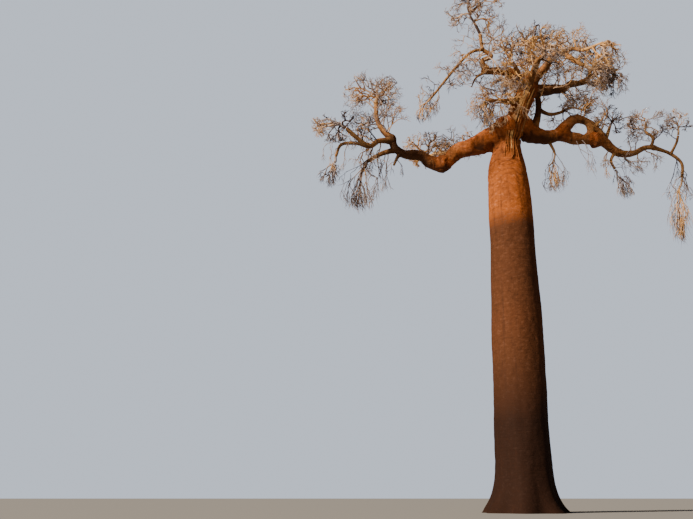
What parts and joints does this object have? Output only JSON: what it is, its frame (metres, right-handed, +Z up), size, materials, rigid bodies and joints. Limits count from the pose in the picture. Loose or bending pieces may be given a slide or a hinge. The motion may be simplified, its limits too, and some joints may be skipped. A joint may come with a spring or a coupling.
{
  "type": "baobab tree",
  "caption": "Leafless baobab tree: a tall bottle trunk on a root flare, long bent boughs, one with a ring hole, and masses of fine crooked twigs",
  "frame": {"origin": "middle of the flat cut under the trunk, at ground level", "axes": "+Z up along the trunk; +X to the right in the picture, along the long right bough; +Y away from the picture's viewer"},
  "size_m": [13.1897, 7.5396, 17.4313],
  "materials": {
    "bark": "matt, finely wrinkled, peeling red-brown bark",
    "twigs": "matt, grey-tan twig bark"
  },
  "bodies": {
    "root": {"trunk": "bark", "left_arm": "bark", "left_forearm": "bark", "left_riser": "bark", "left_outer": "bark", "left_low": "bark", "left_droop": "bark", "left_stub": "bark", "right_arm": "bark", "right_forearm": "bark", "right_arch": "bark", "right_strut": "bark", "right_tip": "bark", "right_riser": "bark", "right_outer": "bark", "right_sprout": "bark", "right_spur": "bark", "right_droop": "bark", "side_stem": "bark", "right_bough": "bark", "right_bough_end": "bark", "right_bough_riser": "bark", "arch_bough": "bark", "left_top_bough": "bark", "left_top_riser": "bark", "left_long_bough": "bark", "left_hook": "bark", "low_left_bough": "bark", "low_right_bough": "bark", "front_bough": "bark", "front_left_bough": "bark", "front_right_bough": "bark", "back_bough": "bark", "back_right_bough": "bark", "back_left_bough": "bark", "crown_top_bough": "bark", "left_riser_twigs": "twigs", "left_outer_twigs": "twigs", "left_low_twigs": "twigs", "left_droop_twigs": "twigs", "right_tip_twigs": "twigs", "right_riser_twigs": "twigs", "right_outer_twigs": "twigs", "right_sprout_twigs": "twigs", "right_droop_twigs": "twigs", "right_hanging_twigs": "twigs", "right_bough_twigs": "twigs", "right_top_twigs": "twigs", "arch_twigs": "twigs", "top_left_twigs": "twigs", "long_bough_twigs": "twigs", "low_left_twigs": "twigs", "low_right_twigs": "twigs", "front_twigs": "twigs", "front_left_twigs": "twigs", "front_right_twigs": "twigs", "back_twigs": "twigs", "back_right_twigs": "twigs", "back_left_twigs": "twigs", "crown_top_twigs": "twigs"}
  },
  "joints": []
}
